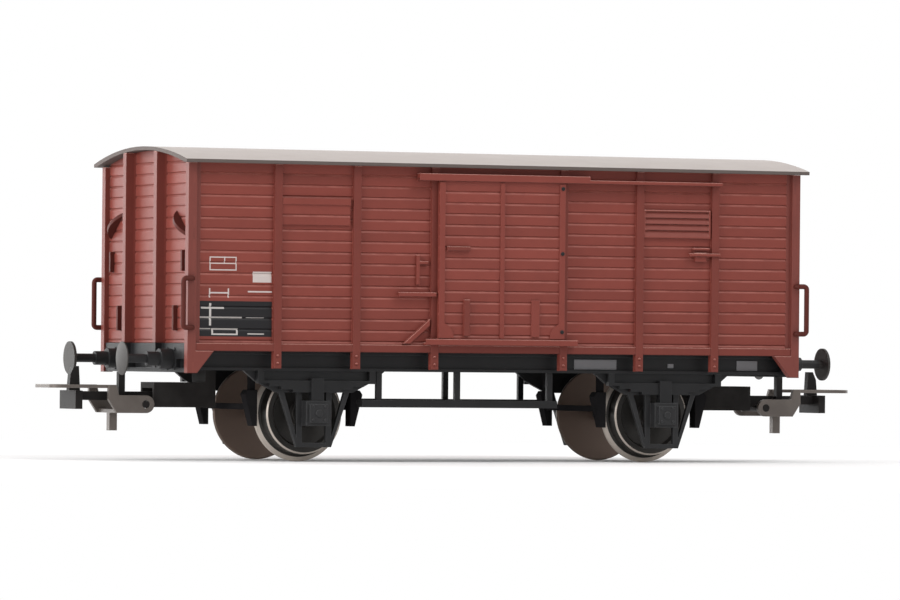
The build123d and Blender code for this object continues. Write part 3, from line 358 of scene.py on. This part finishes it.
# strength of the painted highlight on the board joints
JOINT_HIGHLIGHT_SHARE = 0.44
JOINT_PATCH = 2.4         # the painted highlights on the joints fade in and out over patches of this size
JOINT_FADE = (0.35, 0.6)
JOINT_LEVELS = (0.35, 1.15)


def paint_edge_light_and_shade(tree, red, share):
    """Red with a painted highlight along the upper edges of a fitting and painted shade along its lower
    edges.
    """
    edges = use_group(tree, SOFT_EDGES, Radius=FITTING_EDGE)
    for label, colour in (("Upper", EDGE_HIGHLIGHT_RED), ("Lower", SHADED_RED)):
        red = blend_colour(tree, product(tree, edges[label], share), red, linear(colour))
    return red


def make_red_plastic(name, tones=RED_TONES):
    """Oxide red moulded plastic of the rails, levers and vents, with a painted highlight along upper edges
    and painted shade below.
    """
    material, tree, shader = new_material(name, Specular_IOR_Level=RED_SHINE)
    red = dress(tree, shader, tones, RED_ROUGHNESS, FITTING_EDGE, FITTING_EDGE_SHARE, RED_DUST)
    tree.links.new(paint_edge_light_and_shade(tree, red, EDGE_LIGHT_SHARE), shader.inputs["Base Color"])
    return material


def wall_places(tree, along, across):
    """Places along, across and up a wall, in millimetres."""
    parts = split(tree, object_place(tree))
    return [math_node(tree, "DIVIDE", parts[axis], MM) for axis in (along, across, "Z")]


def board_red(tree, shader, places, joint_highlight_share, face=WALL_FACE, corner=None, **sizes):
    """Red boards, each with its own tone, with a painted highlight on the joints between them and painted
    shade on the posts before them.
    """
    red = dress(tree, shader, RED_TONES, RED_ROUGHNESS, dust=RED_DUST)
    along, across, up = places
    boards = use_group(tree, BOARD_TONE, Along=along, Across=across, Up=up, Face=face, **sizes)
    proud = math_node(tree, "GREATER_THAN", math_node(tree, "ABSOLUTE", across), face + POST_LIFT)
    if corner:
        outer = math_node(tree, "GREATER_THAN", math_node(tree, "ABSOLUTE", along), corner)
        proud = math_node(tree, "MAXIMUM", proud, outer)
    tone = remap(tree, boards["Tone"], 0.0, 1.0, *BOARD_LEVELS)
    # the faces of the posts and corner posts darkened as painted shade
    colour = tint(tree, red, math_node(tree, "SUBTRACT", tone, product(tree, proud, POST_SHADE)))
    patches = use_group(tree, MOULDED_SURFACE, Mottle_Size=JOINT_PATCH)["Mottle"]
    # a painted highlight on the lower flank of each joint, faded in and out in patches
    light = product(tree, boards["Joint"], remap(tree, patches, *JOINT_FADE, *JOINT_LEVELS), joint_highlight_share)
    colour = blend_colour(tree, light, colour, linear(JOINT_HIGHLIGHT_RED))
    # painted highlight and painted shade along the upper and lower edges of the posts
    return paint_edge_light_and_shade(tree, colour, product(tree, proud, EDGE_LIGHT_SHARE))


def make_boarded_red(name, along, across, joint_highlight_share=JOINT_HIGHLIGHT_SHARE, shine=RED_SHINE, **sizes):
    """Red boards of a door, hatch or end wall."""
    material, tree, shader = new_material(name, Specular_IOR_Level=shine)
    colour = board_red(tree, shader, wall_places(tree, along, across), joint_highlight_share, **sizes)
    tree.links.new(colour, shader.inputs["Base Color"])
    return material


def ruled_frame(start, end, bottom, top, bar, post):
    """The four painted lines of an empty box, from the thickness of its level bars and upright posts."""
    return ((start, end, top - bar, top), (start, end, bottom, bottom + bar),
            (start, start + post, bottom, top), (end - post, end, bottom, top))


# Paint on the side walls, in millimetres: start and end, left from the wagon's middle, then bottom and top
OUTER_SKIN = 15.6         # the paint lies outside this distance from the wagon's middle
LINE_SHARE = 0.8
BLACK_BOARD = (33.3, 44.25, 16.85, 21.6)
RULED_LINES = (
    # On the black board: a cross of lines, short lines and an empty box
    (42.05, 42.35, 18.3, 21.3),
    (40.2, 43.5, 20.55, 20.8),
    (37.6, 43.9, 19.3, 19.5),
    (34.4, 37.0, 19.35, 19.45),
    (42.1, 43.9, 17.8, 17.95),
    (34.4, 36.8, 17.15, 17.3),
    *ruled_frame(38.2, 42.0, 17.05, 17.95, 0.2, 0.25),
    # Above it: a divided box, a filled box, a span sign and a line
    *ruled_frame(38.45, 42.35, 25.7, 27.55, 0.15, 0.15),
    (38.45, 42.35, 26.58, 26.72),
    (40.1, 40.25, 26.6, 27.55),
    (33.4, 36.1, 24.15, 25.6),
    (42.2, 42.4, 22.05, 23.3),
    (39.5, 39.7, 22.05, 23.3),
    (39.5, 42.4, 22.6, 22.8),
    (33.3, 36.8, 22.8, 23.0),
)


def make_marked_wall(name):
    """The side walls: red boards, and the black board with its lines at the left end of each side."""
    material, tree, shader = new_material(name, Specular_IOR_Level=RED_SHINE)
    places = wall_places(tree, "X", "Y")
    colour = board_red(tree, shader, places, JOINT_HIGHLIGHT_SHARE)
    along, across, up = places
    leftward = product(tree, along, math_node(tree, "SIGN", across))
    outside = math_node(tree, "GREATER_THAN", math_node(tree, "ABSOLUTE", across), OUTER_SKIN)

    def box_mask(start, end, bottom, top):
        box = use_group(tree, PAINTED_BOX, Along=leftward, Up=up, Start=start, End=end, Bottom=bottom,
                        Top=top)
        return product(tree, box["Mask"], outside)

    colour = blend_colour(tree, box_mask(*BLACK_BOARD), colour, linear(BOARD_BLACK))
    lines = 0.0
    for line in RULED_LINES:
        lines = math_node(tree, "MAXIMUM", lines, box_mask(*line))
    colour = blend_colour(tree, product(tree, lines, LINE_SHARE), colour, linear(LINE_WHITE))
    tree.links.new(colour, shader.inputs["Base Color"])
    return material


PLASTIC_SHINE = 0.45


def make_moulded(name, tones, roughness, shine=PLASTIC_SHINE, metallic=0.0, dust=0.0):
    """Any other moulded plastic, or the metal of a small part."""
    material, tree, shader = new_material(name, Specular_IOR_Level=shine, Metallic=metallic)
    dress(tree, shader, tones, roughness, dust=dust)
    return material


# Wheels: each ring lies so far in from the flange's rim and from the wheel's face, in metres
RIM_RING = (1.22 * MM, 0.22 * MM)
FLANGE_RING = (0.6 * MM, 2.6 * MM)
BACK_FACE = 2.65 * MM
BACK_SHARE = 0.7
WORN_SHARE = 0.95
TURNING_MARKS = 60 / MM   # radians of the fine rings' wave in a metre
TURNING_LEVELS = (0.85, 1.0)
WHEEL_ROUGHNESS = (0.34, 0.46)
WHEEL_EDGE = 0.12
WHEEL_EDGE_SHARE = 0.1


def make_wheel(name, low, high):
    """Blackened wheels with brown backs, whose rim corner and flange are worn to thin bright rings."""
    material, tree, shader = new_material(name, Specular_IOR_Level=0.3, Metallic=0.4)
    colour = dress(tree, shader, WHEEL_TONES, WHEEL_ROUGHNESS, WHEEL_EDGE, WHEEL_EDGE_SHARE)
    parts = split(tree, object_place(tree))
    middle = (low + high) / 2
    flange = (high.z - low.z) / 2
    across = math_node(tree, "SUBTRACT", parts["X"], middle.x)
    up = math_node(tree, "SUBTRACT", parts["Z"], middle.z)
    squares = math_node(tree, "ADD", product(tree, across, across), product(tree, up, up))
    radius = math_node(tree, "SQRT", squares)
    face = math_node(tree, "ABSOLUTE", parts["Y"])

    def ring_mask(from_rim, from_face):
        outer = math_node(tree, "GREATER_THAN", radius, flange - from_rim)
        return product(tree, outer, math_node(tree, "GREATER_THAN", face, high.y - from_face))

    back = math_node(tree, "LESS_THAN", face, high.y - BACK_FACE)
    colour = blend_colour(tree, product(tree, back, BACK_SHARE), colour, linear(WHEEL_BROWN))
    worn = math_node(tree, "MAXIMUM", ring_mask(*RIM_RING), ring_mask(*FLANGE_RING))
    colour = blend_colour(tree, product(tree, worn, WORN_SHARE), colour, linear(TREAD_STEEL))
    wave = math_node(tree, "SINE", product(tree, radius, TURNING_MARKS))
    colour = tint(tree, colour, remap(tree, wave, -1.0, 1.0, *TURNING_LEVELS))
    tree.links.new(colour, shader.inputs["Base Color"])
    return material


HEAD_BACK = 51.8          # the buffers' heads begin this far from the wagon's middle
METAL_PATCH = 0.8


def make_buffer(name):
    """Buffers with black shanks and plates, and heads of darkened metal."""
    material, tree, shader = new_material(name, Specular_IOR_Level=0.3)
    black = dress(tree, shader, FRAME_TONES, roughness=(0.5, 0.6))
    patches = use_group(tree, MOULDED_SURFACE, Mottle_Size=METAL_PATCH)["Mottle"]
    metal = blend_colour(tree, patches, linear(BUFFER_METAL_DEEP), linear(BUFFER_METAL))
    along = wall_places(tree, "X", "Y")[0]
    head = math_node(tree, "GREATER_THAN", math_node(tree, "ABSOLUTE", along), HEAD_BACK)
    tree.links.new(blend_colour(tree, head, black, metal), shader.inputs["Base Color"])
    return material


PLANK = 2.4
PLANK_LEVELS = (0.75, 1.2)
FLOOR_TOP = 15.95
NO_POST = 50.0            # a first post that lies outside the piece


def make_planks(name):
    """The wagon's floor: brown planks laid across it, with dark joints."""
    material, tree, shader = new_material(name, Specular_IOR_Level=0.25)
    brown = dress(tree, shader, PLANK_TONES, roughness=(0.5, 0.65))
    along, across, up = wall_places(tree, "Y", "X")
    planks = use_group(tree, BOARD_TONE, Along=along, Across=up, Up=across, Board=PLANK, Lowest_Joint=0.0,
                       First_Post=NO_POST, Face=FLOOR_TOP)
    colour = tint(tree, brown, remap(tree, planks["Tone"], 0.0, 1.0, *PLANK_LEVELS))
    colour = blend_colour(tree, planks["Joint"], colour, linear(PLANK_JOINT))
    tree.links.new(colour, shader.inputs["Base Color"])
    return material


ROOF_SLOPE = (0.5, 0.8)   # how far a face looks up where the rim's painted shade ends, and where the roof's skin begins
RIM_ROUGHNESS = 0.7


def make_roof(name):
    """Satin light grey roof plastic that is duller round its rim, and darker there with painted shade on
    faces that don't look up.
    """
    material, tree, shader = new_material(name, Specular_IOR_Level=0.4)
    grey = dress(tree, shader, ROOF_TONES, roughness=(0.46, 0.56), edge_share=0.3)
    skin = remap(tree, facing_up(tree), *ROOF_SLOPE)
    # painted shade on the rim, where faces don't look up
    tree.links.new(blend_colour(tree, skin, linear(ROOF_EDGE_SHADE), grey), shader.inputs["Base Color"])
    satin = shader.inputs["Roughness"].links[0].from_socket
    rough = add_node(tree, "ShaderNodeMix", {"data_type": "FLOAT"}, _0=skin, _2=RIM_ROUGHNESS, _3=satin)
    tree.links.new(rough.outputs[0], shader.inputs["Roughness"])
    return material


# The boards of the doors, hatches and ends, in millimetres from the wagon's middle
DOOR_BOARDS = {"Lowest_Joint": 17.37, "First_Post": 20.0, "face": 17.17}
HATCH_BOARDS = {"Board": 2.75, "Lowest_Joint": 33.375, "First_Post": NO_POST, "face": 16.3}
END_BOARDS = {"First_Post": 5.85, "face": 44.9, "corner": 15.2}
SATIN_BLACK = {"roughness": (0.4, 0.55), "shine": 0.2, "dust": 0.12}

RED = make_red_plastic("oxide red plastic")
VENT_HIGHLIGHT_RED = make_red_plastic("oxide red vent slats lightened as painted highlight", VENT_HIGHLIGHT_TONES)
MARKED_WALL = make_marked_wall("oxide red boards with black board")
DOOR_RED = make_boarded_red("oxide red door boards", "X", "Y", **DOOR_BOARDS)
HATCH_RED = make_boarded_red("oxide red hatch boards", "X", "Y", **HATCH_BOARDS)
END_RED = make_boarded_red("oxide red end boards", "Y", "X", joint_highlight_share=0.0, shine=END_SHINE, **END_BOARDS)
# the irons' red is darkened as painted shade
IRON_SHADE_RED = make_moulded("oxide red irons darkened as painted shade", IRON_SHADE_TONES, RED_ROUGHNESS, shine=0.1)
ROOF = make_roof("grey roof plastic")
PLANKS = make_planks("brown floor planks")
BLACK = make_moulded("satin black frame plastic", FRAME_TONES, **SATIN_BLACK)
GUARD = make_moulded("satin black guard plastic", GUARD_TONES, **SATIN_BLACK)
BRAKE = make_moulded("flat black brake plastic", BRAKE_TONES, roughness=(0.55, 0.7), shine=0.0)
COUPLER = make_moulded("dark coupler plastic", COUPLER_TONES, roughness=(0.42, 0.55), shine=0.1)
POCKET = make_moulded("dull coupler plastic", POCKET_TONES, roughness=(0.5, 0.6), shine=0.02)
BUFFER = make_buffer("darkened buffer metal")
LOOP = make_moulded("darkened loop metal", LOOP_TONES, roughness=(0.36, 0.48), metallic=0.35)
BALLAST = make_moulded("blackened steel sheet", BALLAST_TONES, roughness=(0.38, 0.5), metallic=0.8)
AXLE = make_moulded("turned steel", AXLE_TONES, roughness=(0.25, 0.36), metallic=1.0)
PLATE = make_moulded("blank grey plate paint", PLATE_TONES, roughness=(0.45, 0.55), shine=0.3)

SLOT_FINISH = {
    "body_red": RED, "roof_grey": ROOF, "floor_brown": PLANKS, "frame_black": BLACK, "ballast_steel": BALLAST,
    "coupler_black": COUPLER, "loop_metal": LOOP, "axle_steel": AXLE,
}

# Finishes of the nodes whose names start so, which come before their slot's finish
NAMED_FINISH = {
    "side_wall": MARKED_WALL, "end_wall": END_RED, "door_near": DOOR_RED, "door_far": DOOR_RED,
    "hatch": HATCH_RED, "vent_bolt": RED, "vent": VENT_HIGHLIGHT_RED, "lamp_irons": IRON_SHADE_RED, "grab_irons": IRON_SHADE_RED,
    "buffer": BUFFER, "brakes": BRAKE, "axle_guard": GUARD, "coupler_pocket": POCKET,
}


def give(obj, material):
    """One finish for a whole piece."""
    obj.data.materials.clear()
    obj.data.materials.append(material)


for part in frame["record"]["subparts"]:
    name, slot = part["node"], part["material_slot"]
    if slot == "wheel_black":
        give(frame["nodes"][name], make_wheel(f"blackened {name}", *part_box(name)))
    else:
        named = [finish for start, finish in NAMED_FINISH.items() if name.startswith(start)]
        give(frame["nodes"][name], named[0] if named else SLOT_FINISH[slot])


# Small fittings

HALF_TURN = Matrix.Rotation(math.pi, 4, "Z")
SIDES = (("near", Matrix.Identity(4)), ("far", HALF_TURN))
ENDS = (("left", Matrix.Identity(4)), ("right", HALF_TURN))
NEARWARD = Vector((0, -1, 0))
FARWARD = Vector((0, 1, 0))
LEFTWARD = Vector((-1, 0, 0))
BOLT_RADIUS = 0.2 * MM
BOLT_HEIGHT = 0.14 * MM
BOLT_CORNERS = 10
BOLT_BEVEL = 0.6          # share of the head's height


def add_to_scene(mesh, name):
    """A bmesh as an object of the scene."""
    data = bpy.data.meshes.new(name)
    mesh.to_mesh(data)
    mesh.free()
    obj = bpy.data.objects.new(name, data)
    bpy.context.scene.collection.objects.link(obj)
    return obj


def finish_piece(mesh, name, body, material):
    """A bmesh as a finished piece that rides on a body."""
    bmesh.ops.recalc_face_normals(mesh, faces=mesh.faces)
    obj = add_to_scene(mesh, name)
    give(obj, material)
    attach(obj, body)


def edges_at(verts):
    """The edges that end at some vertices, each one once."""
    return list(dict.fromkeys(edge for vert in verts for edge in vert.link_edges))


def add_bolt(mesh, place, direction, radius=BOLT_RADIUS, height=BOLT_HEIGHT):
    """A round bolt head with a soft rim, standing on a face and pointing out of it."""
    made = bmesh.ops.create_cone(mesh, cap_ends=True, segments=BOLT_CORNERS, radius1=radius, radius2=radius,
                                 depth=height)
    bmesh.ops.translate(mesh, verts=made["verts"], vec=(0, 0, height / 2))
    rim = [edge for edge in edges_at(made["verts"]) if all(vert.co.z > height / 2 for vert in edge.verts)]
    bevelled = bmesh.ops.bevel(mesh, geom=rim, offset=height * BOLT_BEVEL, segments=2, profile=0.5,
                               affect="EDGES", material=-1)
    verts = {vert for vert in made["verts"] if vert.is_valid} | set(bevelled["verts"])
    turn = Vector((0, 0, 1)).rotation_difference(direction).to_matrix().to_4x4()
    bmesh.ops.transform(mesh, verts=list(verts), matrix=Matrix.Translation(place) @ turn)


def add_plate(mesh, low, high, bevel):
    """A thin plate between two corners, with softened edges."""
    made = bmesh.ops.create_cube(mesh, size=1.0)
    place = Matrix.Translation((low + high) / 2) @ Matrix.Diagonal((*(high - low), 1.0))
    bmesh.ops.transform(mesh, verts=made["verts"], matrix=place)
    bmesh.ops.bevel(mesh, geom=edges_at(made["verts"]), offset=bevel, segments=2, profile=0.5,
                    affect="EDGES", material=-1)


# Left, right, bottom and top of each plate, in millimetres
SOLE_PLATES = ((12.4, 18.8, 12.8, 14.2), (26.6, 27.5, 13.1, 13.7), (37.2, 40.4, 12.8, 14.2))
WEB_DEPTH = 0.6 * MM      # from the sole bar's flanges in to its web
PLATE_THICK = 0.12 * MM
PLATE_BEVEL = 0.04 * MM


def make_sole_plates():
    """Blank plates on the webs of the sole bars."""
    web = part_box("sole_bar_near")[0].y + WEB_DEPTH
    for side, turn in SIDES:
        mesh = bmesh.new()
        for left, right, bottom, top in SOLE_PLATES:
            add_plate(mesh, Vector((left * MM, web - PLATE_THICK, bottom * MM)),
                      Vector((right * MM, web + PLATE_THICK / 2, top * MM)), PLATE_BEVEL)
        bmesh.ops.transform(mesh, verts=mesh.verts, matrix=turn)
        finish_piece(mesh, f"sole_bar_plates_{side}", "wagon", PLATE)


POST_PLACES = (-32.6, -21.1, -9.6, 9.6, 21.1, 32.6)
FOOT_BOLT_HEIGHTS = (13.3, 14.3)


def make_foot_bolts():
    """Bolt heads on the feet of the side posts."""
    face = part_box("side_wall_near")[0].y
    for side, turn in SIDES:
        mesh = bmesh.new()
        for x in POST_PLACES:
            for z in FOOT_BOLT_HEIGHTS:
                add_bolt(mesh, Vector((x * MM, face, z * MM)), NEARWARD)
        bmesh.ops.transform(mesh, verts=mesh.verts, matrix=turn)
        finish_piece(mesh, f"post_foot_bolts_{side}", "wagon", RED)


RIVET_RADIUS = 0.28 * MM
RIVET_INSET = 0.38 * MM   # in from the door's edge
RIVET_HEIGHTS = (17.9, 28.6, 37.5)
STILE_DEPTH = 0.25 * MM   # from the foremost strap back to the stile


def make_door_rivets():
    """Dark rivets on the right stile of each door."""
    low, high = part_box("door_near")
    for side, turn in SIDES:
        mesh = bmesh.new()
        for z in RIVET_HEIGHTS:
            place = Vector((high.x - RIVET_INSET, low.y + STILE_DEPTH, z * MM))
            add_bolt(mesh, place, NEARWARD, RIVET_RADIUS)
        bmesh.ops.transform(mesh, verts=mesh.verts, matrix=turn)
        finish_piece(mesh, f"door_rivets_{side}", f"door_{side}", BLACK)


PLATE_BOLT_REACH = 1.3 * MM
PLATE_BOLT_RADIUS = 0.26 * MM


def make_buffer_bolts():
    """Bolt heads at the corners of the buffers' base plates."""
    for end, turn in ENDS:
        mesh = bmesh.new()
        for side in ("near", "far"):
            low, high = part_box(f"buffer_left_{side}")
            middle = (low + high) / 2
            for across in (-PLATE_BOLT_REACH, PLATE_BOLT_REACH):
                for up in (-PLATE_BOLT_REACH, PLATE_BOLT_REACH):
                    place = Vector((high.x, middle.y + across, middle.z + up))
                    add_bolt(mesh, place, LEFTWARD, PLATE_BOLT_RADIUS)
        bmesh.ops.transform(mesh, verts=mesh.verts, matrix=turn)
        finish_piece(mesh, f"buffer_plate_bolts_{end}", "wagon", BLACK)


LID_REACH = (0.85 * MM, 0.9 * MM)  # from the lid's middle to its bolts, across and up
LID_LIFT = 0.1 * MM       # from the axle up to the middle of the lid
BOSS_RADIUS = 0.55 * MM
BOSS_HEIGHT = 0.2 * MM


def make_axle_box_bolts():
    """Bolt heads and a middle boss on the lids of the axle boxes."""
    for end in ("left", "right"):
        wheel_low, wheel_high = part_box(f"wheels_{end}")
        axle = (wheel_low + wheel_high) / 2
        for side in ("near", "far"):
            low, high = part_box(f"axle_guard_{end}_{side}")
            face, way = (low.y, NEARWARD) if side == "near" else (high.y, FARWARD)
            lid = Vector((axle.x, face, axle.z + LID_LIFT))
            mesh = bmesh.new()
            for across in (-LID_REACH[0], LID_REACH[0]):
                for up in (-LID_REACH[1], LID_REACH[1]):
                    add_bolt(mesh, lid + Vector((across, 0, up)), way)
            add_bolt(mesh, lid, way, BOSS_RADIUS, BOSS_HEIGHT)
            finish_piece(mesh, f"axle_box_bolts_{end}_{side}", "wagon", GUARD)


make_sole_plates()
make_foot_bolts()
make_door_rivets()
make_buffer_bolts()
make_axle_box_bolts()


# Floor, light and camera

def seen_rays(tree):
    """1 for the rays that show the background: from the camera, in a reflection or through glass."""
    rays = add_node(tree, "ShaderNodeLightPath").outputs
    direct = math_node(tree, "MAXIMUM", rays["Is Camera Ray"], rays["Is Glossy Ray"])
    return math_node(tree, "MAXIMUM", direct, rays["Is Transmission Ray"])


def make_floor():
    """A wide pale floor under the wheels: it takes the shadow near the wagon, and is white further out."""
    mesh = bmesh.new()
    bmesh.ops.create_grid(mesh, x_segments=1, y_segments=1, size=FLOOR_HALF)
    floor = add_to_scene(mesh, "studio_floor")
    material, tree, shader = new_material("pale floor", Roughness=FLOOR_ROUGHNESS, Specular_IOR_Level=0.0)
    place = object_place(tree)
    noise = add_node(tree, "ShaderNodeTexNoise", Vector=place, Scale=FLOOR_PATCHES).outputs["Fac"]
    pale = blend_colour(tree, noise, *[linear(white) for white in FLOOR_WHITES])
    tree.links.new(pale, shader.inputs["Base Color"])
    reach = add_node(tree, "ShaderNodeVectorMath", {"operation": "LENGTH"}, _0=place).outputs["Value"]
    far = add_node(tree, "ShaderNodeMapRange", {"interpolation_type": "SMOOTHSTEP"}, _0=reach, _1=FLOOR_NEAR,
                   _2=FLOOR_FAR).outputs["Result"]
    white = add_node(tree, "ShaderNodeEmission", Color=(1, 1, 1, 1), Strength=1.0).outputs["Emission"]
    surface = add_node(tree, "ShaderNodeMixShader", _0=product(tree, far, seen_rays(tree)),
                       _1=shader.outputs["BSDF"], _2=white).outputs["Shader"]
    tree.links.new(surface, tree.nodes["Material Output"].inputs["Surface"])
    give(floor, material)


def add_lamp(name, place, size, power):
    """A square soft lamp that faces the wagon."""
    data = bpy.data.lights.new(name, "AREA")
    data.size = size
    data.energy = power
    lamp = bpy.data.objects.new(name, data)
    lamp.location = place
    lamp.rotation_euler = (LAMP_TARGET - Vector(place)).to_track_quat("-Z", "Y").to_euler()
    lamp.visible_camera = False
    bpy.context.scene.collection.objects.link(lamp)


def light_world():
    """White surroundings that light the wagon softly and show as plain white."""
    world = bpy.data.worlds.new("studio")
    bpy.context.scene.world = world
    world.use_nodes = True
    tree = world.node_tree
    background = tree.nodes["Background"]
    background.inputs["Color"].default_value = (1, 1, 1, 1)
    level = remap(tree, seen_rays(tree), 0.0, 1.0, WORLD_LEVEL, 1.0)
    tree.links.new(level, background.inputs["Strength"])


def place_camera():
    """The camera, level with the wagon and turned a little about its own line of sight."""
    data = bpy.data.cameras.new("camera")
    data.lens = CAMERA_LENS
    data.sensor_width = CAMERA_SENSOR
    data.sensor_fit = "HORIZONTAL"
    data.shift_x, data.shift_y = CAMERA_SHIFT
    camera = bpy.data.objects.new("camera", data)
    bpy.context.scene.collection.objects.link(camera)
    ahead = Vector((math.sin(CAMERA_YAW), math.cos(CAMERA_YAW), 0))
    level = Vector((math.cos(CAMERA_YAW), -math.sin(CAMERA_YAW), 0))
    right = level * math.cos(CAMERA_ROLL) + Vector((0, 0, 1)) * math.sin(CAMERA_ROLL)
    turn = Matrix((right, right.cross(ahead), -ahead)).transposed().to_4x4()
    camera.matrix_world = Matrix.Translation(CAMERA_PLACE) @ turn
    bpy.context.scene.camera = camera


make_floor()
for lamp_values in LAMPS:
    add_lamp(*lamp_values)
light_world()
place_camera()
bpy.context.scene.view_settings.view_transform = "Standard"
